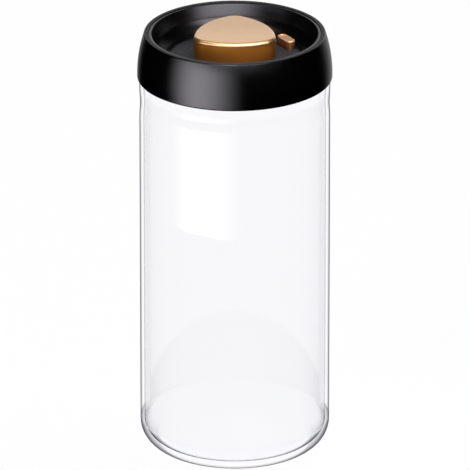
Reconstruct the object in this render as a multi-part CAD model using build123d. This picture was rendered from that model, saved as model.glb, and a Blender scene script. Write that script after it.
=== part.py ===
from build123d import *
import math
import os

# A tall glass canister under a black lid. The lid holds a hand pump, worked by the large
# three-sided button, and an air release, worked by the small oval button.
# Millimetres, +Z up, the origin on the resting surface in the middle of the base.
# The viewer looks along +Y, with +X to the right.

# Glass jar
glass_wall = 2.3
shoulder_z = 221.0
neck_step = 2.75
neck_height = 6.8
heel_radius = 14.0
inner_heel_radius = 10.0
base_thickness = 4.8
base_ring_width = 5.5
base_push_up = 1.2
waist_depth = 0.4
waist_below_shoulder = 14.4
waist_half_length = 8.8
shoulder_round = 1.6
shoulder_foot_round = 0.6
neck_inner_land = 0.35
rim_round = 0.9

# Lid shell
lid_gap = 0.6
lid_overhang = 1.2
lid_belly_rise = 2.1
lid_side_curve = 75.5
lid_lower_land = 1.5
lid_inner_round = 0.4
lid_upper_round = 0.8
shell_wall = 2.8
lid_rim_width = 6.4
seam_edge_round = 0.3
seat_depth = 3.0
ledge_thickness = 1.8
ledge_gap = 0.15
rib_thickness = 1.8
rib_overlap = 1.4

# Dish insert
dish_depth = 14.5
dish_floor_thickness = 2.0
dish_lip_drop = 0.5
dish_lip_width = 1.35
dish_lip_step = 0.55
dish_lip_round = 0.5
seam_gap = 0.25
dish_wall_draft = 2.8
dish_foot_wall = 1.7
dish_inner_round = 8.0
dish_outer_round = 9.3

# Main seal and its carrier
seal_flange_thickness = 1.8
seal_flange_margin = 0.3
seal_body_thickness = 1.7
seal_side_gap = 0.1
seal_lip_gap = 0.3
seal_lip_height = 0.9
seal_lip_spacing = 1.9
seal_lips = 2
seal_lowest_gap = 0.1
carrier_flange_thickness = 1.9
carrier_depth = 7.0
carrier_floor_thickness = 2.0
carrier_wall = 2.0
carrier_inside_neck = 3.1
carrier_bead_width = 1.4
carrier_bead_height = 0.9

# Pump button
button_corner_radius = 8.82
button_skirt_gap = 0.89
button_top_rise = 0.9
button_wall = 1.9
button_top_wall = 2.2
button_edge_round = 1.8
button_side_gap = 0.35
button_skirt_below_floor = 2.2
button_stroke = 10.0

# Pump well and cylinder
well_side_gap = 0.8
well_bottom_gap = 0.9
well_floor_thickness = 1.8
well_wall = 1.5
well_top_below_dish = 3.1
well_ring_width = 1.2
well_ring_height = 2.0
cylinder_wall = 1.8
cylinder_floor_thickness = 2.0
cylinder_floor_gap = 0.8
cap_thickness = 1.6
cap_skirt_length = 3.5
cap_skirt_wall = 1.3
cap_rod_gap = 0.3
cap_top_gap = 1.0
close_gap = 0.05

# Piston group
rod_wall = 1.8
rod_web_thickness = 2.0
rod_flange_margin = 2.0
rod_flange_thickness = 1.2
spigot_length = 3.6
piston_height = 4.8
piston_side_gap = 0.5
piston_top_gap = 0.3
cup_seal_height = 2.4
cup_seal_width = 2.2
cup_seal_lip = 0.7
cup_seal_notch = 1.2
cup_seal_fit = 0.1
cup_groove_from_bottom = 1.1
clip_thickness = 0.8
clip_width = 2.4
clip_groove_depth = 0.7
clip_pocket_depth = 1.3
clip_pocket_gap = 0.5
clip_mouth_angle = 70
flap_thickness = 0.4
flap_width = 2.1
flap_edge_gap = 0.1
exhaust_hole_radius = 0.5
exhaust_hole_land = 0.75
piston_groove_land = 0.7
exhaust_holes = 6

# Pump spring
spring_wire_radius = 0.45
spring_side_gap = 0.6
spring_turns = 7
spring_seat_gap = 0.05

# Intake valve and its cover
valve_stem_radius = 1.2
valve_disc_width = 2.5
valve_spring_gap = 1.0
valve_disc_edge = 0.5
valve_disc_height = 1.0
valve_bulb_radius = 1.9
valve_bulb_height = 1.0
valve_hole_gap = 0.05
intake_hole_radius = 0.7
intake_holes = 6
guard_radius = 7.2
guard_wall = 1.4
guard_plate_thickness = 0.8
guard_inner_height = 1.4
guard_hole_radius = 0.6
guard_rows = 2
guard_row_spacing = 2.1

# Housing seal
o_ring_radius = 0.75
collar_wall = 0.9
housing_pass_gap = 0.25

# Screws
screw_shank_radius = 1.35
screw_head_radius = 2.6
screw_head_height = 1.4
screw_head_round = 0.6
screw_slot_width = 0.6
screw_slot_length = 2.8
screw_slot_depth = 0.7
screw_thread_length = 5.0
screw_hole_gap = 0.05
screw_pass_gap = 0.35
screw_tip_gap = 0.4
pilot_end_wall = 0.2
boss_wall = 1.25
boss_sink = 1.0
carrier_screws = 6
carrier_screw_margin = 5.1
carrier_boss_gap = 2.4
washer_thickness = 0.8
washer_margin = 0.4
housing_screws = 3
housing_screw_gap = 2.12
lug_margin = 1.6
button_screw_head_height = 1.3

# Air release
release_angle = 30
release_ring_gap = 0.62
release_length = 13.8
release_width = 5.6
release_press_gap = 0.1
release_cap_thickness = 2.8
release_edge_round = 0.5
release_dish_margin = 0.8
release_dish_depth = 0.5
release_body_inset = 0.5
release_side_gap = 0.3
release_flange_margin = 0.8
release_flange_thickness = 1.4
release_rest_gap = 0.2
release_stroke = 2.0
stem_radius = 1.2
stem_socket_depth = 3.2
stem_tail = 0.4
vent_radius = 2.2
vent_seal_radius = 3.8
vent_seal_thickness = 1.8
vent_seal_round = 0.4
stem_clip_thickness = 0.7
stem_clip_width = 1.5
stem_clip_groove = 0.35
release_wire_radius = 0.22
release_spring_radius = 2.75
release_spring_turns = 4

# Radii that follow, from the pump outwards to the glass
valve_disc_radius = valve_stem_radius + valve_disc_width
intake_hole_reach = valve_stem_radius + valve_disc_width / 2
spring_radius = valve_disc_radius + valve_spring_gap + spring_wire_radius
rod_bore_radius = spring_radius + spring_wire_radius + spring_side_gap
rod_radius = rod_bore_radius + rod_wall
clip_inner = rod_radius - clip_groove_depth
clip_outer = clip_inner + clip_width
clip_pocket_radius = clip_outer + clip_pocket_gap
exhaust_reach = clip_pocket_radius + exhaust_hole_land + exhaust_hole_radius
cup_groove_radius = exhaust_reach + exhaust_hole_radius + piston_groove_land
cup_seal_inner = cup_groove_radius + close_gap
cup_seal_outer = cup_seal_inner + cup_seal_width
cylinder_bore_radius = cup_seal_outer + cup_seal_fit
cylinder_outer = cylinder_bore_radius + cylinder_wall
cap_skirt_bore = cylinder_outer + close_gap
button_nearest = cap_skirt_bore + cap_skirt_wall + button_skirt_gap + button_wall
button_corner_reach = (button_nearest - button_corner_radius) / (math.sqrt(3) - 1)
button_furthest = button_corner_reach + button_corner_radius
well_bore = button_furthest + well_side_gap
well_outer = well_bore + well_wall
well_ring_radius = well_outer + well_ring_width
boss_radius = screw_shank_radius + boss_wall
housing_screw_reach = well_ring_radius + housing_screw_gap + screw_head_radius
release_flange_grow = release_side_gap + release_flange_margin
release_reach = well_ring_radius + release_ring_gap + release_flange_grow + release_width / 2
carrier_screw_reach = release_reach + carrier_screw_margin
carrier_inner = carrier_screw_reach + boss_radius + carrier_boss_gap
carrier_outer = carrier_inner + carrier_wall
neck_bore = carrier_outer + carrier_inside_neck
neck_radius = neck_bore + glass_wall
glass_radius = neck_radius + neck_step
lid_radius = glass_radius + lid_overhang
seam_radius = lid_radius - lid_rim_width
lid_lower_round = shell_wall - lid_inner_round - lid_lower_land
neck_inner_round = (neck_step - neck_inner_land) / 2

# Heights and radii that follow
jar_bore = glass_radius - glass_wall
jar_rim_z = shoulder_z + neck_height
carrier_flange_z = jar_rim_z + seal_flange_thickness
dish_under_z = carrier_flange_z + carrier_flange_thickness
dish_floor_z = dish_under_z + dish_floor_thickness
lid_top_z = dish_floor_z + dish_depth
lid_bottom_z = shoulder_z + lid_gap
belly_z = lid_bottom_z + lid_belly_rise
dish_seat_z = lid_top_z - seat_depth
dish_lip_radius = seam_radius - seam_gap
carrier_under_z = carrier_flange_z - carrier_depth
carrier_floor_z = carrier_under_z + carrier_floor_thickness

button_top_z = lid_top_z + button_top_rise
button_under_z = button_top_z - button_top_wall
button_skirt_z = dish_floor_z - button_skirt_below_floor
well_floor_z = button_skirt_z - button_stroke - well_bottom_gap
well_under_z = well_floor_z - well_floor_thickness
well_top_z = dish_under_z - well_top_below_dish
o_ring_centre = well_outer + close_gap + o_ring_radius
collar_bore = o_ring_centre + o_ring_radius + close_gap
collar_top_z = carrier_floor_z + 2 * o_ring_radius

cap_top_z = button_under_z - button_stroke - cap_top_gap
cylinder_top_z = cap_top_z - cap_thickness
piston_top_z = cylinder_top_z - piston_top_gap - flap_thickness
piston_under_z = piston_top_z - piston_height
piston_radius = cylinder_bore_radius - piston_side_gap
rod_foot_z = piston_under_z - rod_flange_thickness
cylinder_floor_z = rod_foot_z - button_stroke - cylinder_floor_gap
cylinder_under_z = cylinder_floor_z - cylinder_floor_thickness
web_top_z = button_under_z - spigot_length
web_under_z = web_top_z - rod_web_thickness
clip_pocket_z = piston_top_z - clip_pocket_depth
cup_groove_bottom_z = piston_under_z + cup_groove_from_bottom
guard_under_z = cylinder_under_z - guard_inner_height - guard_plate_thickness

release_x = release_reach * math.cos(math.radians(release_angle))
release_y = release_reach * math.sin(math.radians(release_angle))
release_place = Pos(release_x, release_y, 0)
release_cap_z = dish_floor_z + release_stroke + release_press_gap
release_top_z = release_cap_z + release_cap_thickness
release_flange_top_z = dish_under_z - release_rest_gap
release_foot_z = release_flange_top_z - release_flange_thickness
vent_seal_under_z = carrier_under_z - vent_seal_thickness
stem_clip_z = vent_seal_under_z - stem_clip_thickness
stem_end_z = stem_clip_z - stem_tail


def rounded(sketch, rounds):
    """Round corners of a flat outline, each given as its place and its radius."""
    for corner, radius in rounds:
        nearest = sketch.vertices().sort_by_distance((corner[0], corner[1], 0))[0]
        sketch = fillet(nearest, radius)
    return sketch


def turned(points, rounds=()):
    """Turn a closed outline of (radius, height) points about the upright axis."""
    outline = make_face(Polyline(*points, close=True))
    return revolve(Plane.XZ * rounded(outline, rounds), Axis.Z)


def turned_edges(edges, rounds=()):
    """Turn a closed outline of lines and curves about the upright axis."""
    return revolve(Plane.XZ * rounded(make_face(edges), rounds), Axis.Z)


def tube(outer, inner, low, high):
    return turned([(inner, low), (outer, low), (outer, high), (inner, high)])


def pin(radius, low, high, place=Pos()):
    """An upright round bar from one height to another."""
    return place * Pos(0, 0, low) * extrude(Circle(radius), high - low)


def prism(sketch, low, high):
    return Pos(0, 0, low) * extrude(sketch, high - low)


def around(count, reach, first_angle=0.0):
    """Places spread evenly on a circle."""
    angles = [first_angle + 360 * i / count for i in range(count)]
    return [Rot(0, 0, angle) * Pos(reach, 0, 0) for angle in angles]


def rounded_triangle(grow=0.0):
    """The button's outline of constant width, grown all round, with one corner on +Y."""
    corner = button_corner_radius + grow
    side = math.sqrt(3) * button_corner_reach + corner
    edges = []
    for number in range(3):
        angle = 90 + 120 * number
        centre = Vector(button_corner_reach, 0).rotate(Axis.Z, angle)
        facing = Vector(button_corner_reach, 0).rotate(Axis.Z, angle + 240)
        corner_points = [centre + Vector(corner, 0).rotate(Axis.Z, angle + turn) for turn in (-30, 0, 30)]
        side_points = [facing + Vector(side, 0).rotate(Axis.Z, angle + turn) for turn in (30, 60, 90)]
        edges += [ThreePointArc(*corner_points), ThreePointArc(*side_points)]
    return make_face(edges)


def oval(grow=0.0):
    """The release button's outline, grown all round, lying square to its radius."""
    outline = SlotOverall(release_length + 2 * grow, release_width + 2 * grow)
    return release_place * Rot(0, 0, release_angle + 90) * outline


def screw(length, head_height):
    """A pan head screw that points up, with its head below the origin."""
    head = fillet(pin(screw_head_radius, -head_height, 0).edges().group_by(Axis.Z)[0], screw_head_round)
    slot = prism(Rectangle(screw_slot_length, screw_slot_width), -head_height, screw_slot_depth - head_height)
    cross = slot + Rot(0, 0, 90) * slot
    return head + pin(screw_shank_radius, 0, length) - cross


def tangent_arc(start, corner, end):
    """The arc from start to end whose end tangents meet at the corner."""
    weight = (end - start).length / (2 * (corner - start).length)
    crown = (start + corner * (2 * weight) + end) * (1 / (2 + 2 * weight))
    return Edge.make_three_point_arc(start, crown, end)


def biarc(start, start_way, end, end_way):
    """Two arcs that run smoothly from one point and direction to another."""
    chord = end - start
    both = start_way + end_way
    bend = 1 - start_way.dot(end_way)
    along = chord.dot(both)
    reach = (math.sqrt(along ** 2 + 2 * bend * chord.dot(chord)) - along) / (2 * bend)
    first = start + start_way * reach
    last = end - end_way * reach
    middle = (first + last) * 0.5
    return [tangent_arc(start, first, middle), tangent_arc(middle, last, end)]


def coil(name, radius, wire_radius, low, high, turns):
    """A compression spring about the upright axis, one tube from its lowest to its highest point."""
    first_z = low + wire_radius
    climb = high - low - 2 * wire_radius
    quarters = 4 * turns
    slope = climb / (turns * 2 * math.pi * radius)
    points = []
    ways = []
    for step in range(quarters + 1):
        angle = math.pi / 2 * step
        height = first_z + climb * step / quarters
        points.append(Vector(radius * math.cos(angle), radius * math.sin(angle), height))
        ways.append(Vector(-math.sin(angle), math.cos(angle), slope).normalized())
    edges = []
    for step in range(quarters):
        edges += biarc(points[step], ways[step], points[step + 1], ways[step + 1])
    path = Wire(edges)
    section = Plane(origin=points[0], z_dir=ways[0]) * Circle(wire_radius)
    print(name, "least gap between turns", round(least_gap(path, turns) - 2 * wire_radius, 3))
    return sweep(section, path=path)


def least_gap(path, turns):
    """The least distance from the path to itself half a turn or more further on."""
    count = 24 * turns
    points = [path.position_at(step / count) for step in range(count + 1)]
    return min((points[i] - points[k]).length for i in range(count) for k in range(i + 12, count + 1))


def glass_jar():
    base_ring_outer = glass_radius - heel_radius
    base_ring_inner = base_ring_outer - base_ring_width
    dome = (base_ring_inner ** 2 + base_push_up ** 2) / (2 * base_push_up)
    half_way = base_ring_inner / 2
    dome_height = base_push_up - dome + math.sqrt(dome ** 2 - half_way ** 2)
    heel_mid = heel_radius * (1 - math.sqrt(0.5))
    inner_heel_mid = inner_heel_radius * (1 - math.sqrt(0.5))
    waist_z = shoulder_z - waist_below_shoulder
    waist_low = waist_z - waist_half_length
    waist_high = waist_z + waist_half_length
    inner_shoulder_z = shoulder_z - glass_wall
    up = (0, 1)
    down = (0, -1)
    floor_end = jar_bore - inner_heel_radius
    edges = [
        ThreePointArc((0, base_push_up), (half_way, dome_height), (base_ring_inner, 0)),
        Line((base_ring_inner, 0), (base_ring_outer, 0)),
        ThreePointArc((base_ring_outer, 0), (glass_radius - heel_mid, heel_mid), (glass_radius, heel_radius)),
        Line((glass_radius, heel_radius), (glass_radius, waist_low)),
        Spline(
            (glass_radius, waist_low),
            (glass_radius - waist_depth, waist_z),
            (glass_radius, waist_high),
            tangents=(up, up),
        ),
        Polyline(
            (glass_radius, waist_high),
            (glass_radius, shoulder_z),
            (neck_radius, shoulder_z),
            (neck_radius, jar_rim_z),
            (neck_bore, jar_rim_z),
            (neck_bore, inner_shoulder_z),
            (jar_bore, inner_shoulder_z),
            (jar_bore, waist_high),
        ),
        Spline(
            (jar_bore, waist_high),
            (jar_bore - waist_depth, waist_z),
            (jar_bore, waist_low),
            tangents=(down, down),
        ),
        Line((jar_bore, waist_low), (jar_bore, base_thickness + inner_heel_radius)),
        ThreePointArc(
            (jar_bore, base_thickness + inner_heel_radius),
            (jar_bore - inner_heel_mid, base_thickness + inner_heel_mid),
            (floor_end, base_thickness),
        ),
        Polyline((floor_end, base_thickness), (0, base_thickness), (0, base_push_up)),
    ]
    rounds = [
        ((glass_radius, shoulder_z), shoulder_round),
        ((neck_radius, shoulder_z), shoulder_foot_round),
        ((neck_radius, jar_rim_z), rim_round),
        ((neck_bore, jar_rim_z), rim_round),
        ((neck_bore, inner_shoulder_z), neck_inner_round),
        ((jar_bore, inner_shoulder_z), neck_inner_round),
    ]
    return turned_edges(edges, rounds)


def lid_side(height, inset=0.0):
    """The lid's bulged side: its point at a height, moved inwards by an inset."""
    curve = lid_side_curve - inset
    centre = lid_radius - lid_side_curve
    return (centre + math.sqrt(curve ** 2 - (height - belly_z) ** 2), height)


def side_arc(start_z, end_z, inset=0.0):
    middle_z = (start_z + end_z) / 2
    return ThreePointArc(lid_side(start_z, inset), lid_side(middle_z, inset), lid_side(end_z, inset))


def lid_shell():
    ledge_under_z = dish_seat_z - ledge_thickness
    ledge_radius = dish_lip_radius - dish_lip_step + ledge_gap
    rib_top_z = dish_under_z + rib_thickness
    rib_radius = neck_radius - rib_overlap
    edges = [
        side_arc(lid_bottom_z, lid_top_z),
        Polyline(
            lid_side(lid_top_z),
            (seam_radius, lid_top_z),
            (seam_radius, dish_seat_z),
            (ledge_radius, dish_seat_z),
            (ledge_radius, ledge_under_z),
            lid_side(ledge_under_z, shell_wall),
        ),
        side_arc(ledge_under_z, rib_top_z, shell_wall),
        Polyline(
            lid_side(rib_top_z, shell_wall),
            (rib_radius, rib_top_z),
            (rib_radius, dish_under_z),
            lid_side(dish_under_z, shell_wall),
        ),
        side_arc(dish_under_z, lid_bottom_z, shell_wall),
        Line(lid_side(lid_bottom_z, shell_wall), lid_side(lid_bottom_z)),
    ]
    rounds = [
        (lid_side(lid_bottom_z), lid_lower_round),
        (lid_side(lid_bottom_z, shell_wall), lid_inner_round),
        (lid_side(lid_top_z), lid_upper_round),
        ((seam_radius, lid_top_z), seam_edge_round),
    ]
    return turned_edges(edges, rounds)


def lid_dish():
    lip_z = lid_top_z - dish_lip_drop
    wall_top = dish_lip_radius - dish_lip_width
    wall_foot = wall_top - dish_wall_draft
    outer_foot = wall_foot + dish_foot_wall
    body = turned(
        [
            (0, dish_under_z),
            (outer_foot, dish_under_z),
            (dish_lip_radius - dish_lip_step, dish_seat_z),
            (dish_lip_radius, dish_seat_z),
            (dish_lip_radius, lip_z),
            (wall_top, lip_z),
            (wall_foot, dish_floor_z),
            (0, dish_floor_z),
        ],
        [
            ((outer_foot, dish_under_z), dish_outer_round),
            ((wall_foot, dish_floor_z), dish_inner_round),
            ((wall_top, lip_z), dish_lip_round),
        ],
    )
    boss_top_z = dish_under_z + boss_sink
    for place in around(carrier_screws, carrier_screw_reach):
        body += pin(boss_radius, carrier_floor_z, boss_top_z, place)
    for place in around(housing_screws, housing_screw_reach, 90):
        body += pin(boss_radius, well_top_z, boss_top_z, place)
    hole_radius = screw_shank_radius + screw_hole_gap
    hole_height = screw_thread_length + screw_tip_gap
    for place in around(carrier_screws, carrier_screw_reach):
        body -= pin(hole_radius, carrier_floor_z, carrier_floor_z + hole_height, place)
    housing_hole_height = min(hole_height, dish_under_z + boss_sink - well_top_z)
    for place in around(housing_screws, housing_screw_reach, 90):
        body -= pin(hole_radius, well_top_z, well_top_z + housing_hole_height, place)
    body -= prism(rounded_triangle(button_side_gap), dish_under_z, dish_floor_z)
    body -= prism(oval(release_side_gap), dish_under_z, lid_top_z)
    return body


def seal_carrier():
    bead_radius = carrier_outer + carrier_bead_width
    body = turned(
        [
            (well_outer + housing_pass_gap, carrier_under_z),
            (bead_radius, carrier_under_z),
            (bead_radius, carrier_under_z + carrier_bead_height),
            (carrier_outer, carrier_under_z + carrier_bead_height),
            (carrier_outer, carrier_flange_z),
            (neck_radius, carrier_flange_z),
            (neck_radius, dish_under_z),
            (carrier_inner, dish_under_z),
            (carrier_inner, carrier_floor_z),
            (collar_bore + collar_wall, carrier_floor_z),
            (collar_bore + collar_wall, collar_top_z),
            (collar_bore, collar_top_z),
            (collar_bore, carrier_floor_z),
            (well_outer + housing_pass_gap, carrier_floor_z),
        ]
    )
    for place in around(carrier_screws, carrier_screw_reach):
        body -= pin(screw_shank_radius + screw_pass_gap, carrier_under_z, carrier_floor_z, place)
    body -= pin(vent_radius, carrier_under_z, carrier_floor_z, release_place)
    return body


def lid_seal():
    inner = carrier_outer + seal_side_gap
    body_radius = inner + seal_body_thickness
    lip_radius = neck_bore - seal_lip_gap
    bottom_z = carrier_under_z + carrier_bead_height + seal_lowest_gap
    points = [(inner, carrier_flange_z), (inner, bottom_z)]
    for lip in range(seal_lips):
        lip_z = bottom_z + seal_lip_spacing * lip
        lip_top_z = lip_z + seal_lip_height
        points += [(body_radius, lip_z), (lip_radius, lip_top_z), (body_radius, lip_top_z)]
    points += [
        (body_radius, jar_rim_z),
        (neck_radius - seal_flange_margin, jar_rim_z),
        (neck_radius - seal_flange_margin, carrier_flange_z),
    ]
    return turned(points)


def carrier_screw_set():
    low = carrier_under_z - washer_thickness
    piece = Pos(0, 0, low) * screw(carrier_floor_z - low + screw_thread_length, screw_head_height)
    return Compound(children=[place * piece for place in around(carrier_screws, carrier_screw_reach)])


def screw_washers():
    washer = tube(
        screw_head_radius + washer_margin,
        screw_shank_radius + screw_hole_gap,
        carrier_under_z - washer_thickness,
        carrier_under_z,
    )
    return Compound(children=[place * washer for place in around(carrier_screws, carrier_screw_reach)])


def pump_housing():
    ring_low_z = collar_top_z
    body = turned(
        [
            (0, cylinder_under_z),
            (cylinder_outer, cylinder_under_z),
            (cylinder_outer, well_under_z),
            (well_outer, well_under_z),
            (well_outer, ring_low_z),
            (well_ring_radius, ring_low_z),
            (well_ring_radius, well_top_z),
            (well_bore, well_top_z),
            (well_bore, well_floor_z),
            (cylinder_outer, well_floor_z),
            (cylinder_outer, cylinder_top_z),
            (cylinder_bore_radius, cylinder_top_z),
            (cylinder_bore_radius, cylinder_floor_z),
            (0, cylinder_floor_z),
        ]
    )
    lug_low_z = well_top_z - well_ring_height
    lug_radius = screw_shank_radius + screw_pass_gap + lug_margin
    for place in around(housing_screws, housing_screw_reach, 90):
        arm_length = housing_screw_reach - well_outer
        arm = place * Pos(-arm_length / 2, 0, 0) * Rectangle(arm_length, 2 * lug_radius)
        body += prism(arm, lug_low_z, well_top_z)
        body += pin(lug_radius, lug_low_z, well_top_z, place)
        body -= pin(screw_shank_radius + screw_pass_gap, lug_low_z, well_top_z, place)
    body -= pin(valve_stem_radius + valve_hole_gap, cylinder_under_z, cylinder_floor_z)
    for place in around(intake_holes, intake_hole_reach):
        body -= pin(intake_hole_radius, cylinder_under_z, cylinder_floor_z, place)
    return body


def housing_o_ring():
    height = carrier_floor_z + o_ring_radius
    return revolve(Plane.XZ * Pos(o_ring_centre, height) * Circle(o_ring_radius), Axis.Z)


def housing_screw_set():
    low = well_top_z - well_ring_height
    length = well_ring_height + dish_under_z + boss_sink - well_top_z - screw_tip_gap
    piece = Pos(0, 0, low) * screw(length, screw_head_height)
    places = around(housing_screws, housing_screw_reach, 90)
    return Compound(children=[place * piece for place in places])


def cylinder_cap():
    skirt_foot_z = cylinder_top_z - cap_skirt_length
    return turned(
        [
            (rod_radius + cap_rod_gap, cylinder_top_z),
            (cap_skirt_bore, cylinder_top_z),
            (cap_skirt_bore, skirt_foot_z),
            (cap_skirt_bore + cap_skirt_wall, skirt_foot_z),
            (cap_skirt_bore + cap_skirt_wall, cap_top_z),
            (rod_radius + cap_rod_gap, cap_top_z),
        ]
    )


def pump_button():
    body = prism(rounded_triangle(), button_skirt_z, button_top_z)
    body = fillet(body.edges().group_by(Axis.Z)[-1], button_edge_round)
    body -= prism(rounded_triangle(-button_wall), button_skirt_z, button_under_z)
    body += pin(rod_bore_radius - close_gap, web_top_z, button_under_z)
    pilot_top_z = web_top_z + spigot_length - pilot_end_wall
    body -= pin(screw_shank_radius + screw_hole_gap, web_top_z, pilot_top_z)
    return body


def piston_rod():
    foot = rod_radius + rod_flange_margin
    body = turned(
        [
            (rod_bore_radius, rod_foot_z),
            (foot, rod_foot_z),
            (foot, piston_under_z),
            (rod_radius, piston_under_z),
            (rod_radius, clip_pocket_z),
            (clip_inner, clip_pocket_z),
            (clip_inner, clip_pocket_z + clip_thickness),
            (rod_radius, clip_pocket_z + clip_thickness),
            (rod_radius, button_under_z),
            (rod_bore_radius, button_under_z),
            (rod_bore_radius, web_top_z),
            (screw_shank_radius + screw_pass_gap, web_top_z),
            (screw_shank_radius + screw_pass_gap, web_under_z),
            (rod_bore_radius, web_under_z),
        ]
    )
    return body


def button_screw():
    length = rod_web_thickness + spigot_length - screw_tip_gap
    return Pos(0, 0, web_under_z) * screw(length, button_screw_head_height)


def piston_head():
    bore = rod_radius + close_gap
    groove_top_z = cup_groove_bottom_z + cup_seal_height
    body = turned(
        [
            (bore, piston_under_z),
            (piston_radius, piston_under_z),
            (piston_radius, cup_groove_bottom_z),
            (cup_groove_radius, cup_groove_bottom_z),
            (cup_groove_radius, groove_top_z),
            (piston_radius, groove_top_z),
            (piston_radius, piston_top_z),
            (clip_pocket_radius, piston_top_z),
            (clip_pocket_radius, clip_pocket_z),
            (bore, clip_pocket_z),
        ]
    )
    for place in around(exhaust_holes, exhaust_reach):
        body -= pin(exhaust_hole_radius, piston_under_z, piston_top_z, place)
    return body


def piston_clip():
    ring = tube(clip_outer, clip_inner, clip_pocket_z, clip_pocket_z + clip_thickness)
    reach = 2 * clip_outer
    half_mouth = math.radians(clip_mouth_angle / 2)
    corners = [(0, 0)]
    for angle in (-half_mouth, half_mouth):
        corners.append((reach * math.cos(angle), reach * math.sin(angle)))
    mouth = make_face(Polyline(*corners, close=True))
    return ring - prism(mouth, clip_pocket_z, clip_pocket_z + clip_thickness)


def piston_cup_seal():
    low = cup_groove_bottom_z
    high = low + cup_seal_height
    middle = (cup_seal_inner + cup_seal_outer) / 2
    return turned(
        [
            (cup_seal_inner, high),
            (cup_seal_inner, low),
            (cup_seal_inner + cup_seal_lip, low),
            (middle, low + cup_seal_notch),
            (cup_seal_outer - cup_seal_lip, low),
            (cup_seal_outer, low),
            (cup_seal_outer, high),
        ]
    )


def exhaust_flap():
    inner = clip_pocket_radius + flap_edge_gap
    return tube(inner + flap_width, inner, piston_top_z, piston_top_z + flap_thickness)


def pump_spring():
    low = cylinder_floor_z + spring_seat_gap
    high = web_under_z - spring_seat_gap
    return coil("pump_spring", spring_radius, spring_wire_radius, low, high, spring_turns)


def intake_valve():
    bulb_z = cylinder_under_z - close_gap
    return turned(
        [
            (0, bulb_z - valve_bulb_height),
            (valve_stem_radius, bulb_z - valve_bulb_height),
            (valve_bulb_radius, bulb_z),
            (valve_stem_radius, bulb_z),
            (valve_stem_radius, cylinder_floor_z),
            (valve_disc_radius, cylinder_floor_z),
            (valve_disc_radius, cylinder_floor_z + valve_disc_edge),
            (valve_stem_radius, cylinder_floor_z + valve_disc_height),
            (0, cylinder_floor_z + valve_disc_height),
        ]
    )


def crumb_guard():
    plate_top_z = guard_under_z + guard_plate_thickness
    body = turned(
        [
            (0, guard_under_z),
            (guard_radius, guard_under_z),
            (guard_radius, cylinder_under_z),
            (guard_radius - guard_wall, cylinder_under_z),
            (guard_radius - guard_wall, plate_top_z),
            (0, plate_top_z),
        ]
    )
    body -= pin(guard_hole_radius, guard_under_z, plate_top_z)
    for row in range(1, guard_rows + 1):
        for place in around(6 * row, guard_row_spacing * row):
            body -= pin(guard_hole_radius, guard_under_z, plate_top_z, place)
    return body


def release_button():
    cap = prism(oval(), release_cap_z, release_top_z)
    cap = fillet(cap.edges().group_by(Axis.Z)[-1], release_edge_round)
    cap -= prism(oval(-release_dish_margin), release_top_z - release_dish_depth, release_top_z)
    body = prism(oval(-release_body_inset), release_flange_top_z, release_cap_z)
    flange = prism(oval(release_flange_grow), release_foot_z, release_flange_top_z)
    socket = pin(stem_radius + close_gap, release_foot_z, release_foot_z + stem_socket_depth, release_place)
    return cap + body + flange - socket


def release_stem():
    groove = stem_radius - stem_clip_groove
    profile = turned(
        [
            (0, stem_end_z),
            (stem_radius, stem_end_z),
            (stem_radius, stem_clip_z),
            (groove, stem_clip_z),
            (groove, vent_seal_under_z),
            (stem_radius, vent_seal_under_z),
            (stem_radius, release_foot_z + stem_socket_depth),
            (0, release_foot_z + stem_socket_depth),
        ]
    )
    return release_place * profile


def release_seal():
    disc = tube(vent_seal_radius, stem_radius + close_gap, vent_seal_under_z, carrier_under_z)
    disc = fillet(disc.edges().group_by(Axis.Z)[0].sort_by(SortBy.RADIUS)[-1], vent_seal_round)
    return release_place * disc


def stem_clip():
    inner = stem_radius - stem_clip_groove
    ring = tube(inner + stem_clip_width, inner, stem_clip_z, vent_seal_under_z)
    mouth = Pos(inner + stem_clip_width, 0) * Rectangle(2 * (inner + stem_clip_width), 2 * inner)
    return release_place * (ring - prism(mouth, stem_clip_z, vent_seal_under_z))


def release_spring():
    low = carrier_floor_z + spring_seat_gap
    high = release_foot_z - spring_seat_gap
    radius = release_spring_radius
    spring = coil("release_spring", radius, release_wire_radius, low, high, release_spring_turns)
    return release_place * spring


pieces = {
    "glass_jar": glass_jar,
    "lid_shell": lid_shell,
    "lid_dish": lid_dish,
    "seal_carrier": seal_carrier,
    "lid_seal": lid_seal,
    "carrier_screws": carrier_screw_set,
    "screw_washers": screw_washers,
    "pump_housing": pump_housing,
    "housing_o_ring": housing_o_ring,
    "housing_screws": housing_screw_set,
    "cylinder_cap": cylinder_cap,
    "pump_button": pump_button,
    "piston_rod": piston_rod,
    "button_screw": button_screw,
    "piston_head": piston_head,
    "piston_clip": piston_clip,
    "piston_cup_seal": piston_cup_seal,
    "exhaust_flap": exhaust_flap,
    "pump_spring": pump_spring,
    "intake_valve": intake_valve,
    "crumb_guard": crumb_guard,
    "release_button": release_button,
    "release_stem": release_stem,
    "release_seal": release_seal,
    "stem_clip": stem_clip,
    "release_spring": release_spring,
}

os.makedirs("parts", exist_ok=True)
for node, make in pieces.items():
    export_step(make(), "parts/" + node + ".step")
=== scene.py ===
import math

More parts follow.
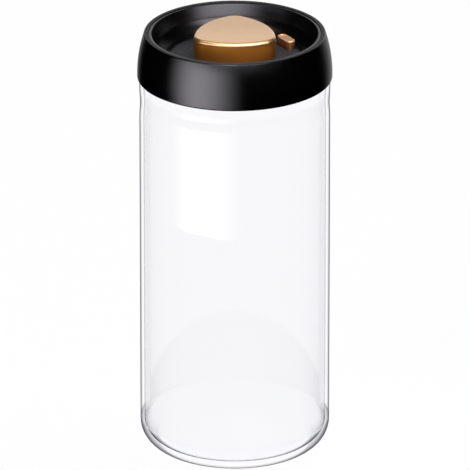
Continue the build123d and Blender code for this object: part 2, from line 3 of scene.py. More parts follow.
import bmesh
import bpy
from bpy.props import FloatProperty, FloatVectorProperty, IntProperty, PointerProperty
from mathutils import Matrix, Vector


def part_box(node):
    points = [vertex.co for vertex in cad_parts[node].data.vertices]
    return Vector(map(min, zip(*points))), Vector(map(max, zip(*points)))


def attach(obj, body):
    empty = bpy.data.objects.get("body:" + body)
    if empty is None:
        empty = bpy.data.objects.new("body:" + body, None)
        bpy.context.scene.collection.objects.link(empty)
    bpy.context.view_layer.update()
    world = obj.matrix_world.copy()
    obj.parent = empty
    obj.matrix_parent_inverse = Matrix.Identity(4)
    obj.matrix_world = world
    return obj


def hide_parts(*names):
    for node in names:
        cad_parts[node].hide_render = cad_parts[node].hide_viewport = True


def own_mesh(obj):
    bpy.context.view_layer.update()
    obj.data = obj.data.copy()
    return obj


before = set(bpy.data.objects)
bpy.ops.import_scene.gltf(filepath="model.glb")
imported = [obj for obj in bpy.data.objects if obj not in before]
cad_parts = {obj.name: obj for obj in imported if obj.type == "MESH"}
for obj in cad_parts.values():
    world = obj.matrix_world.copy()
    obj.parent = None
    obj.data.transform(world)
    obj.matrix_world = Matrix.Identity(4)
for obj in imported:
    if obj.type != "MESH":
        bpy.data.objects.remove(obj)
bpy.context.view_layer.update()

bl_info = {
    "name": "Pump Lid Canister",
    "version": (1, 0, 0),
    "blender": (4, 5, 0),
    "location": "3D View > Sidebar > Canister",
    "description": "Dresses a tall glass storage canister whose lid holds a hand pump and an air release",
    "category": "Object",
}

MM = 0.001
jar_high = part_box("glass_jar")[1]
lid_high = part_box("lid_shell")[1]
dish_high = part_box("lid_dish")[1]
button_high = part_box("pump_button")[1]
release_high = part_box("release_button")[1]
pump_spring_low, pump_spring_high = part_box("pump_spring")
release_spring_low, release_spring_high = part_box("release_spring")

# Steps in one rounded corner, and in the dome of the base and each half of the waist
ARC_STEPS = 14
PROFILE_STEPS = 12

# Points nearer to the upright axis than this lie on it
ON_AXIS = 1e-7

PLASTIC_IOR = 1.5
SILICONE_IOR = 1.41
GLASS_IOR = 1.38
WHITE = (1.0, 1.0, 1.0, 1.0)
BLACK = (0.0, 0.0, 0.0, 1.0)

# The camera that fits the photograph's view
CAMERA_PLACE = (0.00011, -5.0, 2.1573)
CAMERA_TILT = math.radians(67.884)
CAMERA_LENS = 731.49
CAMERA_SENSOR = 36.0
CAMERA_CLIP = (0.5, 60.0)

# Lamps, each with its diameter and place, and the point that they face
KEY_LAMP = (1.6, (-1.7, -1.9, 2.3))
FILL_LAMP = (2.2, (0.9, 0.6, 2.6))
LAMP_TARGET = Vector((0.0, 0.0, 0.12))

# Panels that reflections show: the angles in degrees from straight in front at which a panel starts,
# is full, starts to fade and ends, and the heights of its foot and top
PANEL_DISTANCE = 0.9
PANEL_STEPS = 16
LEFT_PANEL = ((-84.0, -44.0, -42.0, 11.0), (-0.2, 0.42))
FRONT_PANEL = ((-50.0, 8.0, 40.0, 74.0), (0.52, 2.6))
CEILING_RADIUS = 1.15
CEILING_PLACE = (0.0, -0.35, 2.0)

# The floor lies a hair below the jar
FLOOR_REACH = 9.0
FLOOR_DROP = 0.15 * MM


# Shader graphs


class Signal:
    """One output in a shader graph. Arithmetic on it adds Math nodes."""

    def __init__(self, graph, socket):
        self.graph = graph
        self.socket = socket

    def __add__(self, other):
        return self.graph.maths("ADD", self, other)

    __radd__ = __add__

    def __sub__(self, other):
        return self.graph.maths("SUBTRACT", self, other)

    def __rsub__(self, other):
        return self.graph.maths("SUBTRACT", other, self)

    def __mul__(self, other):
        return self.graph.maths("MULTIPLY", self, other)

    __rmul__ = __mul__


class Graph:
    """A shader node tree that is written as expressions."""

    def __init__(self, tree):
        self.tree = tree
        tree.nodes.clear()

    def node(self, kind, settings=None, sockets=None, out=0):
        """Add a node of a type, with its settings first and then its sockets' values or links."""
        made = self.tree.nodes.new("ShaderNode" + kind)
        for name, value in (settings or {}).items():
            setattr(made, name, value)
        for name, value in (sockets or {}).items():
            socket = self.pick(made.inputs, name)
            if isinstance(value, Signal):
                self.tree.links.new(value.socket, socket)
            else:
                socket.default_value = value
        return Signal(self, self.pick(made.outputs, out)) if made.outputs else None

    @staticmethod
    def pick(sockets, name):
        """The socket at a number, or the one in use that has a name."""
        if isinstance(name, int):
            return sockets[name]
        return next(s for s in sockets if s.enabled and s.name == name)

    def maths(self, operation, *values):
        return self.node("Math", {"operation": operation}, dict(enumerate(values)))

    def greatest(self, first, *others):
        for other in others:
            first = self.maths("MAXIMUM", first, other)
        return first

    def place(self):
        """The point on the piece, in metres in the shared frame at rest."""
        return self.node("TexCoord", out="Object")

    def split(self, vector):
        """The three parts of a vector."""
        parts = self.node("SeparateXYZ", None, {0: vector}).socket.node.outputs
        return [Signal(self, part) for part in parts]

    def distance_out(self, x, y):
        """How far a point is from the canister's upright axis."""
        return self.maths("SQRT", x * x + y * y)

    def noise(self, vector, scale, detail=3.0, roughness=0.5):
        sockets = {"Vector": vector, "Scale": scale, "Detail": detail, "Roughness": roughness}
        return self.node("TexNoise", None, sockets, 0)

    def stretched(self, vector, scale):
        return self.node("VectorMath", {"operation": "MULTIPLY"}, {0: vector, 1: scale})

    def ease(self, value, low, high):
        """Zero below low, one above high, and smooth between them."""
        settings = {"interpolation_type": "SMOOTHSTEP", "clamp": True}
        return self.node("MapRange", settings, {"Value": value, "From Min": low, "From Max": high}, 0)

    def blend(self, share, first, second):
        sockets = {"Factor": share, "A": first, "B": second}
        return self.node("Mix", {"data_type": "RGBA"}, sockets, "Result")

    def bump(self, height, distance, strength=1.0, normal=None):
        sockets = {"Height": height, "Distance": distance, "Strength": strength}
        if normal:
            sockets["Normal"] = normal
        return self.node("Bump", None, sockets)

    def surface(self, sockets):
        return self.node("BsdfPrincipled", None, sockets)

    def output(self, shader, kind="OutputMaterial"):
        self.node(kind, None, {"Surface": shader})


def rgba(colour):
    return (*colour, 1.0)


def new_finish(name):
    material = bpy.data.materials.new(name)
    material.use_nodes = True
    return material, Graph(material.node_tree)


def clear_glass_finish(colours, sizes):
    """Clear glass with painted dark edge lines, see-through where it is thick or would hold light in for
    good.
    """
    material, graph = new_finish("clear_glass_wall")
    place = graph.place()
    x, y, height = graph.split(place)
    edge_on = graph.node("LayerWeight", None, {"Blend": 0.5}, "Facing")
    leaving = graph.node("NewGeometry", out="Backfacing")
    upright = graph.maths("ABSOLUTE", graph.split(graph.node("NewGeometry", out="Normal"))[2])
    waves = graph.noise(graph.stretched(place, (1.0, 1.0, 0.4)), 38.0, 1.0)
    haze = graph.noise(place, 90.0, 4.0, 0.6)
    wall = graph.surface(
        {
            "Base Color": rgba(colours.glass),
            "Roughness": graph.ease(haze, 0.55, 0.85) * 0.012,
            "Normal": graph.bump(waves, 1.2 * MM, 0.03),
            "IOR": GLASS_IOR,
            "Transmission Weight": 1.0,
        }
    )

    # Light that would stay in thick glass until the render gives it up goes straight through instead
    inner_face = sizes.glass_radius - 1.8 * MM
    inside = 1.0 - graph.ease(graph.distance_out(x, y), inner_face, inner_face + 1.0 * MM)
    shoulder = sizes.jar_height - sizes.neck_height
    heel = 1.0 - graph.ease(height, sizes.heel_radius, sizes.heel_radius + 3.0 * MM)
    bend = graph.ease(height + inside * (5.0 * MM), shoulder - 6.0 * MM, shoulder - 3.5 * MM)
    bend = bend * (1.0 - graph.ease(height, shoulder + 1.5 * MM, shoulder + 3.0 * MM))
    held = graph.ease(edge_on, 0.29, 0.31) * leaving
    grazing = graph.ease(edge_on, 0.64, 0.74) * (1.0 - leaving)
    clear = graph.greatest(heel, bend, held, grazing)

    # Painted shade: a dark see-through colour at grazing angles stands in for the dark lines that refraction
    # gives at the glass's edges, softer over the heel
    soft_painted_edge = graph.ease(edge_on, 0.5, 1.0) * heel
    fine_painted_edge = graph.ease(edge_on, 0.78, 0.96) * (1.0 - heel) * (0.85 - inside * 0.55)
    edge = (soft_painted_edge + fine_painted_edge) * (1.0 - graph.ease(upright, 0.96, 0.99))
    bright = graph.node("BsdfTransparent", None, {"Color": rgba(colours.glass)})
    dark = graph.node("BsdfTransparent", None, {"Color": rgba(colours.glass_painted_edge_line)})
    see_through_with_painted_edges = graph.node("MixShader", None, {0: edge, 1: bright, 2: dark})
    glass = graph.node("MixShader", None, {0: clear, 1: wall, 2: see_through_with_painted_edges})

    shadow = graph.node("LightPath", out="Is Shadow Ray")
    shade = graph.node("BsdfTransparent", None, {"Color": (0.94, 0.945, 0.96, 1.0)})
    graph.output(graph.node("MixShader", None, {0: shadow * 0.85, 1: glass, 2: shade}))
    return material


def black_plastic_finish(colours, name, polish, grain, floor_grain=0.0, flare=0.0):
    """Satin moulded black plastic with a fine grain, which can have a rough floor and a flared wall."""
    material, graph = new_finish(name)
    place = graph.place()
    x, y, z = graph.split(place)
    cloud = graph.noise(place, 55.0, 3.0)
    fine = graph.noise(place, 2600.0, 2.0)
    pits = graph.noise(place, 900.0, 3.0, 0.65)
    worn = graph.ease(cloud, 0.3, 0.75)
    tone = graph.blend(worn, rgba(colours.black_plastic), rgba(colours.black_plastic_worn))
    out = graph.distance_out(x, y)
    land_edge = lid_high.x - 4.8 * MM
    land = graph.ease(z, lid_high.z - 0.6 * MM, lid_high.z - 0.1 * MM)
    land = land * (1.0 - graph.ease(out, land_edge, land_edge + 1.0 * MM))
    roughness = polish + cloud * 0.04 + fine * 0.05 + land * 0.4
    relief = fine * grain
    if floor_grain:
        floor_top = dish_high.z - 13.9 * MM
        floor = 1.0 - graph.ease(out, 35.5 * MM, 38.5 * MM)
        floor = floor * (1.0 - graph.ease(z, floor_top, floor_top + 0.5 * MM))
        relief = relief + pits * (floor * floor_grain)
        roughness = roughness + floor * 0.45
        # Partly real grain and partly painted light: lighter specks brighten the front of the dish floor and
        # fade out toward the back wall, where painted shade is left
        specks_and_painted_light = graph.ease(pits, 0.35, 0.7) * floor * (1.0 - graph.ease(y, 14.0 * MM, 28.0 * MM))
        tone = graph.blend(specks_and_painted_light, tone, rgba(colours.black_plastic_grain_and_painted_light))
    slope = None
    if flare:
        softness = 2.2 * MM
        rise = graph.maths("MAXIMUM", z - (dish_high.z - 12.5 * MM), 0.0)
        slope = graph.bump(graph.maths("SQRT", rise * rise + softness**2) * -flare, 1.0)
    plastic = graph.surface(
        {
            "Base Color": tone,
            "Roughness": roughness,
            "Normal": graph.bump(relief, 0.06 * MM, 0.6, slope),
            "IOR": PLASTIC_IOR,
        }
    )
    graph.output(plastic)
    return material


def gold_finish(colours, name, top, lip, face_colour, painted_shade_side_colour, metallic, roughness):
    """Bronze gold lacquer over fine flakes, under a clear coat, with painted light and shade: paler on the
    face at the top, most toward the front, and a deeper painted shade on the sides, darker low down.
    """
    material, graph = new_finish(name)
    place = graph.place()
    flakes = graph.node("TexVoronoi", None, {"Vector": place, "Scale": 5200.0}, "Color")
    flake = graph.node("SeparateColor", None, {0: flakes}, 0)
    cloud = graph.noise(place, 130.0, 3.0)
    fine = graph.noise(place, 2400.0, 2.0)
    _, y, z = graph.split(place)
    # Painted shade: the sides take a deeper colour than the top, standing in for the shade and warm
    # reflection that fall on them
    side = 1.0 - graph.ease(z, top - lip, top - lip * 0.2)
    # Painted light: the top is painted paler toward the front
    face = graph.blend(graph.ease(y, -22.0 * MM, 20.0 * MM), rgba(colours.gold_front_painted_highlight), rgba(face_colour))
    tone = graph.blend(side, face, rgba(painted_shade_side_colour))
    # Painted shade: darker low on the sides, toward the dish floor
    foot = 1.0 - graph.ease(z, top - 11.0 * MM, top - 2.0 * MM)
    tone = graph.blend(foot * 0.75, tone, rgba(colours.gold_foot_painted_shade))
    tone = graph.blend(graph.ease(cloud, 0.25, 0.75) * 0.12, tone, rgba(colours.gold_deep))
    tone = graph.blend(graph.ease(flake, 0.82, 1.0) * 0.3, tone, rgba(colours.gold_flake))
    metal = graph.surface(
        {
            "Base Color": tone,
            "Metallic": metallic + flake * 0.08,
            "Roughness": roughness + cloud * 0.02 + flake * 0.05 + side * 0.08,
            "Normal": graph.bump(fine, 0.03 * MM, 0.5),
            "IOR": PLASTIC_IOR,
            "Coat Weight": 0.94 + cloud * 0.06,
            "Coat Roughness": 0.2,
            "Coat IOR": PLASTIC_IOR,
        }
    )
    graph.output(metal)
    return material


def white_plastic_finish(colours):
    """Natural moulded plastic, faintly mottled."""
    material, graph = new_finish("natural_plastic")
    place = graph.place()
    cloud = graph.noise(place, 140.0, 4.0, 0.6)
    fine = graph.noise(place, 2200.0, 2.0)
    tone = graph.blend(cloud, rgba(colours.white_plastic), rgba(colours.white_plastic_shade))
    plastic = graph.surface(
        {
            "Base Color": tone,
            "Roughness": 0.38 + fine * 0.12,
            "Normal": graph.bump(fine, 0.04 * MM, 0.5),
            "IOR": PLASTIC_IOR,
        }
    )
    graph.output(plastic)
    return material


def silicone_finish(colours):
    """Milky silicone with a soft, slightly dusty skin."""
    material, graph = new_finish("milky_silicone")
    place = graph.place()
    cloud = graph.noise(place, 90.0, 4.0, 0.6)
    dust = graph.noise(place, 1500.0, 3.0, 0.6)
    tone = graph.blend(cloud, rgba(colours.silicone), rgba(colours.silicone_shade))
    rubber = graph.surface(
        {
            "Base Color": tone,
            "Roughness": 0.42 + dust * 0.2,
            "Normal": graph.bump(dust, 0.05 * MM, 0.4),
            "IOR": SILICONE_IOR,
            "Transmission Weight": 0.15,
        }
    )
    graph.output(rubber)
    return material


def steel_finish(colours, name, streak):
    """Bright steel with drawn or turned marks along a direction."""
    material, graph = new_finish(name)
    place = graph.place()
    lines = graph.noise(graph.stretched(place, streak), 900.0, 4.0, 0.7)
    cloud = graph.noise(place, 260.0, 2.0)
    tone = graph.blend(graph.ease(lines, 0.25, 0.8), rgba(colours.steel_shade), rgba(colours.steel))
    metal = graph.surface(
        {
            "Base Color": tone,
            "Metallic": 1.0,
            "Roughness": 0.2 + lines * 0.16 + cloud * 0.05,
            "Normal": graph.bump(lines, 0.02 * MM, 0.5),
        }
    )
    graph.output(metal)
    return material


# Shapes


def rounded_corners(corners):
    """Points of an outline whose corners, each (radius out, height, rounding), are arcs."""
    points = []
    count = len(corners)
    for index, (x, y, rounding) in enumerate(corners):
        here = Vector((x, y))
        if not rounding:
            points.append(here)
            continue
        before = (Vector(corners[index - 1][:2]) - here).normalized()
        after = (Vector(corners[(index + 1) % count][:2]) - here).normalized()
        half = before.angle(after) / 2
        centre = here + (before + after).normalized() * (rounding / math.sin(half))
        first = here + before * (rounding / math.tan(half)) - centre
        last = here + after * (rounding / math.tan(half)) - centre
        turn = first.angle_signed(last)
        for step in range(ARC_STEPS + 1):
            angle = -turn * step / ARC_STEPS
            cos, sin = math.cos(angle), math.sin(angle)
            points.append(centre + Vector((first.x * cos - first.y * sin, first.x * sin + first.y * cos)))
    return points


def lathe(name, outline, segments):
    """A closed piece turned about the upright axis from an open outline that starts and ends on it."""
    mesh = bmesh.new()
    turns = [2 * math.pi * step / segments for step in range(segments)]
    rings = []
    for out, height in outline:
        if out < ON_AXIS:
            rings.append([mesh.verts.new((0.0, 0.0, height))])
        else:
            rings.append([mesh.verts.new((out * math.cos(a), out * math.sin(a), height)) for a in turns])
    for low, high in zip(rings, rings[1:]):
        for side in range(segments):
            other = (side + 1) % segments
            if len(low) == 1:
                mesh.faces.new((low[0], high[other], high[side]))
            elif len(high) == 1:
                mesh.faces.new((low[side], low[other], high[0]))
            else:
                mesh.faces.new((low[side], low[other], high[other], high[side]))
    return finish_mesh(name, mesh)


def coil(name, centre, radius, wire, low, high, turns, sides=14, steps=40):
    """A compression spring, one tube that climbs evenly between two heights."""
    count = turns * steps
    climb = high - low - 2 * wire
    pitch = climb / (2 * math.pi * turns * radius)
    mesh = bmesh.new()
    rings = []
    for step in range(count + 1):
        share = step / count
        angle = 2 * math.pi * turns * share
        height = low + wire + climb * share
        outward = Vector((math.cos(angle), math.sin(angle), 0.0))
        along = Vector((-math.sin(angle), math.cos(angle), pitch)).normalized()
        upward = outward.cross(along) * -1
        middle = centre + outward * radius + Vector((0.0, 0.0, height))
        ring = []
        for side in range(sides):
            turn = 2 * math.pi * side / sides
            spoke = outward * math.cos(turn) + upward * math.sin(turn)
            ring.append(mesh.verts.new(middle + spoke * wire))
        rings.append(ring)
    for first, second in zip(rings, rings[1:]):
        for side in range(sides):
            other = (side + 1) % sides
            mesh.faces.new((first[side], first[other], second[other], second[side]))
    mesh.faces.new(rings[0])
    mesh.faces.new(reversed(rings[-1]))
    return finish_mesh(name, mesh)


def finish_mesh(name, mesh):
    """Turn a bmesh into a smooth-shaded object whose faces look outwards."""
    bmesh.ops.recalc_face_normals(mesh, faces=mesh.faces)
    for face in mesh.faces:
        face.smooth = True
    data = bpy.data.meshes.new(name)
    mesh.to_mesh(data)
    mesh.free()
    piece = bpy.data.objects.new(name, data)
    bpy.context.scene.collection.objects.link(piece)
    return piece


def set_finish(piece, finish):
    piece.data.materials.clear()
    piece.data.materials.append(finish)


def dress(nodes, finish):
    """Give carried-over pieces a finish."""
    for node in nodes:
        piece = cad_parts[node]
        if not piece.material_slots:
            piece.data.materials.append(finish)
        for slot in piece.material_slots:
            slot.material = finish


# Settings


def length_setting(name, description, default):
    return FloatProperty(name=name, description=description, default=default, unit="LENGTH")


def level_setting(name, description, default):
    return FloatProperty(name=name, description=description, default=default, min=0.0, soft_max=20.0)


def power_setting(name, description, default):
    return FloatProperty(name=name, description=description, default=default, unit="POWER")


def colour_setting(name, description, default):
    return FloatVectorProperty(
        name=name, description=description, default=default, subtype="COLOR", size=3, min=0.0, max=1.0
    )


class CanisterSizes(bpy.types.PropertyGroup):
    """Sizes of the pieces that are made here."""

    glass_radius: length_setting("Glass Radius", "Outside radius of the jar", jar_high.x)
    glass_wall: length_setting("Glass Wall", "Thickness of the jar's wall", 2.3 * MM)
    jar_height: length_setting("Jar Height", "Height of the jar's rim", jar_high.z)
    neck_height: length_setting("Neck Height", "From the shoulder to the rim", 6.8 * MM)
    neck_step: length_setting("Neck Step", "How far the neck stands in from the wall", 2.75 * MM)
    heel_radius: length_setting("Heel Rounding", "Outside rounding at the foot", 14.0 * MM)
    inner_heel_radius: length_setting("Inner Heel Rounding", "Inside rounding at the foot", 10.0 * MM)
    base_thickness: length_setting("Base Thickness", "Thickness of the glass at the bottom", 4.8 * MM)
    push_up: length_setting("Push Up", "How far the base is domed", 1.2 * MM)
    foot_ring: length_setting("Foot Ring", "Width of the ring that the jar stands on", 5.5 * MM)
    waist_depth: length_setting("Waist Depth", "How far the wall draws in below the lid", 0.4 * MM)
    waist_drop: length_setting("Waist Drop", "From the shoulder down to the waist", 14.4 * MM)
    waist_reach: length_setting("Waist Reach", "From the waist to where it fades out", 8.8 * MM)
    glass_segments: IntProperty(
        name="Glass Segments", description="Faces round the jar", default=256, min=32, max=1024
    )
    pump_turns: IntProperty(
        name="Pump Spring Turns", description="Turns of the pump's spring", default=7, min=3
    )
    release_turns: IntProperty(
        name="Release Spring Turns", description="Turns of the release's spring", default=4, min=2
    )


class CanisterColours(bpy.types.PropertyGroup):
    """Colours of the finishes."""

    glass: colour_setting("Glass", "Clear glass seen straight through", (0.985, 0.985, 0.992))
    # Painted shade: the dark line painted on the glass where it is seen edge on
    glass_painted_edge_line: colour_setting("Glass Line", "Glass seen edge on", (0.16, 0.155, 0.19))
    black_plastic: colour_setting("Black Plastic", "The lid", (0.0002, 0.0002, 0.00022))
    black_plastic_worn: colour_setting("Black Plastic, Clouds", "Lighter clouds", (0.0004, 0.0004, 0.00045))
    # Partly real grain and partly painted light on the front of the dish floor
    black_plastic_grain_and_painted_light: colour_setting("Black Plastic, Grain", "Specks on the floor", (0.044, 0.045, 0.054))
    gold: colour_setting("Gold", "The lacquer on top of the buttons", (0.66, 0.36, 0.13))
    # Painted highlight: paler lacquer on the front of the top
    gold_front_painted_highlight: colour_setting("Gold, Paler", "The lacquer on top, toward the front", (0.84, 0.50, 0.21))
    # Painted shade: the sides' deeper colour stands for how light falls on them
    gold_side_painted_shade: colour_setting("Gold, Sides", "The lacquer on the sides of the buttons", (1.0, 0.35, 0.03))
    gold_deep: colour_setting("Gold, Deeper", "Darker clouds in the lacquer", (0.60, 0.25, 0.05))
    # Painted shade: the colour low on the sides
    gold_foot_painted_shade: colour_setting("Gold, Foot", "The lacquer low on the sides", (0.42, 0.13, 0.01))
    # Painted light: the release's top is painted brighter than its sides
    gold_release_painted_light: colour_setting("Gold, Release", "The lacquer on top of the release", (1.0, 0.72, 0.46))
    gold_flake: colour_setting("Gold Flake", "Bright flakes in the lacquer", (0.82, 0.48, 0.20))
    white_plastic: colour_setting("Natural Plastic", "The pump's inner pieces", (0.80, 0.80, 0.77))
    white_plastic_shade: colour_setting("Natural Plastic, Darker", "Mottling", (0.70, 0.70, 0.67))
    silicone: colour_setting("Silicone", "Seals and valves", (0.62, 0.64, 0.66))
    silicone_shade: colour_setting("Silicone, Darker", "Mottling", (0.50, 0.52, 0.54))
    steel: colour_setting("Steel", "Screws, springs and clips", (0.66, 0.66, 0.67))
    steel_shade: colour_setting("Steel, Darker", "Drawn marks", (0.42, 0.42, 0.43))


class CanisterStudio(bpy.types.PropertyGroup):
    """Light and surroundings."""

    sky_level: level_setting("Sky Level", "Even light from all round", 0.55)
    key_power: power_setting("Key Light", "Large soft lamp at the front left", 38.0)
    fill_power: power_setting("Fill Light", "Large soft lamp overhead", 20.0)
    panel_level: level_setting("Panel Level", "Reflected panel beside the canister", 5.6)
    front_level: level_setting("Front Level", "Reflected panel high in front", 6.6)
    ceiling_level: level_setting("Ceiling Level", "Reflected ceiling", 1.5)
    floor_white: FloatProperty(
        name="Floor White",
        description="Share of the floor that stays white in shade",
        default=0.93,
        min=0.0,
        max=1.0,
        subtype="FACTOR",
    )


class CanisterSettings(bpy.types.PropertyGroup):
    """All settings of the canister."""

    sizes: PointerProperty(type=CanisterSizes)
    colours: PointerProperty(type=CanisterColours)
    studio: PointerProperty(type=CanisterStudio)


# Operators


class CANISTER_OT_glass_jar(bpy.types.Operator):
    """Make the clear glass jar"""

    bl_idname = "canister.glass_jar"
    bl_label = "Glass Jar"

    def execute(self, context):
        sizes = context.scene.canister.sizes
        outer = sizes.glass_radius
        bore = outer - sizes.glass_wall
        neck = outer - sizes.neck_step
        neck_bore = neck - sizes.glass_wall
        rim = sizes.jar_height
        shoulder = rim - sizes.neck_height
        inner_shoulder = shoulder - sizes.glass_wall
        shoulder_round = 1.6 * MM
        neck_foot_round = 0.6 * MM
        rim_round = 0.9 * MM
        inner_round = 1.2 * MM
        ring = outer - sizes.heel_radius - sizes.foot_ring
        shares = [step / PROFILE_STEPS for step in range(PROFILE_STEPS + 1)]
        dome = [(ring * share, sizes.push_up * (1 - share**2), 0.0) for share in shares]
        waist = []
        for step in range(-PROFILE_STEPS, PROFILE_STEPS + 1):
            share = step / PROFILE_STEPS
            height = shoulder - sizes.waist_drop + sizes.waist_reach * share
            waist.append((height, sizes.waist_depth * (0.5 + 0.5 * math.cos(math.pi * share))))
        corners = [
            *dome,
            (outer, 0.0, sizes.heel_radius),
            *[(outer - depth, height, 0.0) for height, depth in waist],
            (outer, shoulder, shoulder_round),
            (neck, shoulder, neck_foot_round),
            (neck, rim, rim_round),
            (neck_bore, rim, rim_round),
            (neck_bore, inner_shoulder, inner_round),
            (bore, inner_shoulder, inner_round),
            *[(bore - depth, height, 0.0) for height, depth in reversed(waist)],
            (bore, sizes.base_thickness, sizes.inner_heel_radius),
            (0.0, sizes.base_thickness, 0.0),
        ]
        jar = lathe("jar_glass", rounded_corners(corners), sizes.glass_segments)
        jar.modifiers.new("even_shading", "WEIGHTED_NORMAL").weight = 80
        set_finish(jar, clear_glass_finish(context.scene.canister.colours, sizes))
        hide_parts("glass_jar")
        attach(jar, "jar")
        return {"FINISHED"}


class CANISTER_OT_lid_plastics(bpy.types.Operator):
    """Finish the black plastic pieces of the lid"""

    bl_idname = "canister.lid_plastics"
    bl_label = "Black Plastic Pieces"

    def execute(self, context):
        colours = context.scene.canister.colours
        shell = black_plastic_finish(colours, "black_plastic_shell", polish=0.125, grain=0.8)
        dish = black_plastic_finish(
            colours, "black_plastic_dish", polish=0.2, grain=0.6, floor_grain=5.0, flare=0.17
        )
        inner = black_plastic_finish(colours, "black_plastic_inner", polish=0.26, grain=0.8)
        dress(["lid_shell"], shell)
        dress(["lid_dish"], dish)
        dress(["seal_carrier", "pump_housing"], inner)
        return {"FINISHED"}


class CANISTER_OT_buttons(bpy.types.Operator):
    """Finish the pump button and the air release button"""

    bl_idname = "canister.buttons"
    bl_label = "Gold Buttons"

    def execute(self, context):
        colours = context.scene.canister.colours
        pump = gold_finish(
            colours,
            "gold_lacquer_pump",
            top=button_high.z,
            lip=4.2 * MM,
            face_colour=colours.gold,
            painted_shade_side_colour=colours.gold_side_painted_shade,
            metallic=0.92,
            roughness=0.3,
        )
        # The release's top is painted brighter and its sides painted darker, a painted light and shade
        release = gold_finish(
            colours,
            "gold_lacquer_release",
            top=release_high.z,
            lip=1.0 * MM,
            face_colour=colours.gold_release_painted_light,
            painted_shade_side_colour=colours.gold_foot_painted_shade,
            metallic=0.5,
            roughness=0.36,
        )
        dress(["pump_button"], pump)
        dress(["release_button"], release)
        return {"FINISHED"}


class CANISTER_OT_pump_plastics(bpy.types.Operator):
    """Finish the natural plastic pieces of the pump"""

    bl_idname = "canister.pump_plastics"
    bl_label = "Natural Plastic Pieces"

    def execute(self, context):
        finish = white_plastic_finish(context.scene.canister.colours)
        dress(["cylinder_cap", "piston_rod", "piston_head", "crumb_guard"], finish)
        return {"FINISHED"}


class CANISTER_OT_seals(bpy.types.Operator):
    """Finish the silicone seals and valves"""

    bl_idname = "canister.seals"
    bl_label = "Seals and Valves"

    def execute(self, context):
        finish = silicone_finish(context.scene.canister.colours)
        seals = ["lid_seal", "housing_o_ring", "screw_washers", "release_seal"]
        dress(seals + ["piston_cup_seal", "exhaust_flap", "intake_valve"], finish)
        return {"FINISHED"}


class CANISTER_OT_fasteners(bpy.types.Operator):
    """Finish the screws, the clips and the release pin"""

    bl_idname = "canister.fasteners"
    bl_label = "Screws and Clips"

    def execute(self, context):
        colours = context.scene.canister.colours
        turned = steel_finish(colours, "turned_steel", (0.25, 0.25, 3.0))
        dress(["carrier_screws", "housing_screws", "button_screw", "release_stem"], turned)
        dress(["piston_clip", "stem_clip"], steel_finish(colours, "pressed_steel", (2.0, 0.2, 1.0)))
        return {"FINISHED"}


class CANISTER_OT_springs(bpy.types.Operator):
    """Make the springs of the pump and of the air release"""

    bl_idname = "canister.springs"
    bl_label = "Springs"

    def execute(self, context):
        settings = context.scene.canister
        sizes = settings.sizes
        drawn = steel_finish(settings.colours, "drawn_steel_wire", (1.0, 1.0, 1.0))
        pump = ("pump_coil", "pump_spring", "pump_press", sizes.pump_turns, 0.45 * MM, 0.59)
        release = ("release_coil", "release_spring", "release_press", sizes.release_turns, 0.22 * MM, 0.62)
        self.make_spring(drawn, pump_spring_low, pump_spring_high, *pump)
        self.make_spring(drawn, release_spring_low, release_spring_high, *release)
        return {"FINISHED"}

    @staticmethod
    def make_spring(finish, low, high, name, node, joint, turns, wire, keep):
        """A spring of a wire radius that fills a node's box and rides with the lid."""
        centre = Vector(((low.x + high.x) / 2, (low.y + high.y) / 2, 0.0))
        radius = (high.x - low.x) / 2 - wire
        piece = coil(name, centre, radius, wire, low.z, high.z, turns)
        set_finish(piece, finish)
        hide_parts(node)
        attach(piece, "lid")
        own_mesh(piece)


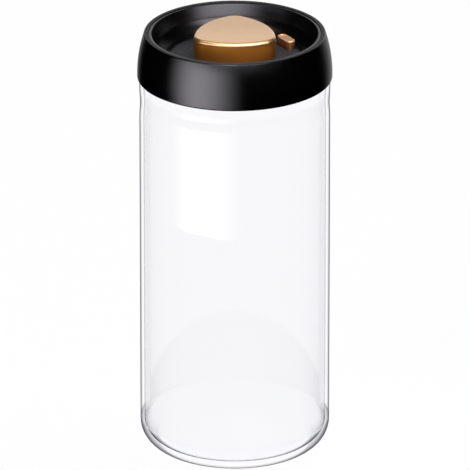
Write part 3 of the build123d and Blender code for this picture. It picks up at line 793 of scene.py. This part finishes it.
class CANISTER_OT_stage(bpy.types.Operator):
    """Set up the floor, the light and the camera"""

    bl_idname = "canister.stage"
    bl_label = "Stage"

    def execute(self, context):
        studio = context.scene.canister.studio
        self.make_floor(studio)
        self.make_world(context.scene, studio)
        self.make_lamp("key_light", studio.key_power, *KEY_LAMP)
        self.make_lamp("fill_light", studio.fill_power, *FILL_LAMP)
        self.make_panel("left_panel", studio.panel_level, *LEFT_PANEL)
        self.make_panel("front_panel", studio.front_level, *FRONT_PANEL)
        self.make_ceiling(studio)
        self.make_camera(context.scene)
        context.scene.view_settings.view_transform = "Standard"
        return {"FINISHED"}

    @staticmethod
    def make_floor(studio):
        mesh = bmesh.new()
        bmesh.ops.create_grid(mesh, x_segments=8, y_segments=8, size=FLOOR_REACH)
        floor = finish_mesh("studio_floor", mesh)
        floor.location.z = -FLOOR_DROP
        floor.visible_glossy = False
        material, graph = new_finish("studio_floor_white")
        camera = graph.node("LightPath", out="Is Camera Ray")
        through = graph.node("LightPath", out="Is Transmission Ray")
        seen = graph.greatest(camera, through)
        matt = graph.node("BsdfDiffuse", None, {"Color": (0.96, 0.96, 0.96, 1.0)})
        white = graph.node("Emission", None, {"Color": WHITE, "Strength": 1.0})
        graph.output(graph.node("MixShader", None, {0: seen * studio.floor_white, 1: matt, 2: white}))
        set_finish(floor, material)

    @staticmethod
    def make_world(scene, studio):
        """Even light, white seen directly or through glass, and in gloss a dim room with a pale back."""
        world = bpy.data.worlds.new("studio_world")
        world.use_nodes = True
        scene.world = world
        graph = Graph(world.node_tree)
        x, y, z = graph.split(graph.node("TexCoord", out="Generated"))
        camera = graph.node("LightPath", out="Is Camera Ray")
        through = graph.node("LightPath", out="Is Transmission Ray")
        gloss = graph.node("LightPath", out="Is Glossy Ray")
        seen = graph.greatest(camera, through)
        behind = graph.ease(y + x * 0.15, 0.62, 1.0)
        room = behind * behind * (0.45 + graph.ease(z, -0.15, 0.2) * 0.75)
        level = seen + (1.0 - seen) * (gloss * room + (1.0 - gloss) * studio.sky_level)
        light = graph.node("Background", None, {"Color": WHITE, "Strength": level})
        graph.output(light, "OutputWorld")

    @staticmethod
    def make_lamp(name, power, size, place):
        data = bpy.data.lights.new(name, "AREA")
        data.shape = "DISK"
        data.size = size
        data.energy = power
        lamp = bpy.data.objects.new(name, data)
        lamp.visible_glossy = False
        bpy.context.scene.collection.objects.link(lamp)
        lamp.location = place
        lamp.rotation_euler = (LAMP_TARGET - lamp.location).to_track_quat("-Z", "Y").to_euler()

    @staticmethod
    def make_panel(name, level, edges, heights):
        """A panel bent round the canister that only reflections show, brightest in its middle."""
        start, full, fade, end = (math.radians(edge) for edge in edges)
        mesh = bmesh.new()
        rows = []
        for step in range(PANEL_STEPS + 1):
            angle = start + (end - start) * step / PANEL_STEPS
            x, y = PANEL_DISTANCE * math.sin(angle), -PANEL_DISTANCE * math.cos(angle)
            rows.append([mesh.verts.new((x, y, z)) for z in heights])
        for first, second in zip(rows, rows[1:]):
            mesh.faces.new((first[0], second[0], second[1], first[1]))
        panel = finish_mesh(name, mesh)
        material, graph = new_finish(name + "_light")
        x, y, _ = graph.split(graph.place())
        angle = graph.maths("ARCTAN2", x, 0.0 - y)
        share = graph.ease(angle, start, full) * (1.0 - graph.ease(angle, fade, end))
        colour = graph.blend(share, BLACK, (0.95, 0.92, 1.0, 1.0))
        graph.output(graph.node("Emission", None, {"Color": colour, "Strength": level}))
        CANISTER_OT_stage.show_in_gloss(panel, material)

    @staticmethod
    def make_ceiling(studio):
        """A pale ceiling that only reflections show."""
        mesh = bmesh.new()
        bmesh.ops.create_circle(mesh, cap_ends=True, segments=48, radius=CEILING_RADIUS)
        ceiling = finish_mesh("ceiling_panel", mesh)
        ceiling.location = CEILING_PLACE
        material, graph = new_finish("ceiling_light")
        sockets = {"Color": (1.0, 0.98, 0.96, 1.0), "Strength": studio.ceiling_level}
        graph.output(graph.node("Emission", None, sockets))
        CANISTER_OT_stage.show_in_gloss(ceiling, material)

    @staticmethod
    def show_in_gloss(panel, material):
        for kind in ("camera", "diffuse", "transmission", "shadow"):
            setattr(panel, "visible_" + kind, False)
        set_finish(panel, material)

    @staticmethod
    def make_camera(scene):
        data = bpy.data.cameras.new("photo_camera")
        data.sensor_width = CAMERA_SENSOR
        data.lens = CAMERA_LENS
        data.clip_start, data.clip_end = CAMERA_CLIP
        camera = bpy.data.objects.new("photo_camera", data)
        scene.collection.objects.link(camera)
        camera.location = CAMERA_PLACE
        camera.rotation_euler = (CAMERA_TILT, 0.0, 0.0)
        scene.camera = camera


class CANISTER_PT_pieces(bpy.types.Panel):
    """The canister's pieces and settings"""

    bl_idname = "CANISTER_PT_pieces"
    bl_label = "Pump Lid Canister"
    bl_space_type = "VIEW_3D"
    bl_region_type = "UI"
    bl_category = "Canister"

    def draw(self, context):
        settings = context.scene.canister
        for group in (settings.sizes, settings.colours, settings.studio):
            box = self.layout.box()
            for name in group.__annotations__:
                box.prop(group, name)
        column = self.layout.column()
        for operator in PIECES:
            column.operator(operator.bl_idname)


PIECES = (
    CANISTER_OT_glass_jar,
    CANISTER_OT_lid_plastics,
    CANISTER_OT_buttons,
    CANISTER_OT_pump_plastics,
    CANISTER_OT_seals,
    CANISTER_OT_fasteners,
    CANISTER_OT_springs,
    CANISTER_OT_stage,
)
CLASSES = (CanisterSizes, CanisterColours, CanisterStudio, CanisterSettings, *PIECES, CANISTER_PT_pieces)


def register():
    for made in CLASSES:
        bpy.utils.register_class(made)
    bpy.types.Scene.canister = PointerProperty(type=CanisterSettings)


def unregister():
    del bpy.types.Scene.canister
    for made in reversed(CLASSES):
        bpy.utils.unregister_class(made)


def main():
    register()
    bpy.ops.canister.glass_jar()
    bpy.ops.canister.lid_plastics()
    bpy.ops.canister.buttons()
    bpy.ops.canister.pump_plastics()
    bpy.ops.canister.seals()
    bpy.ops.canister.fasteners()
    bpy.ops.canister.springs()
    bpy.ops.canister.stage()


if __name__ == "__main__":
    main()
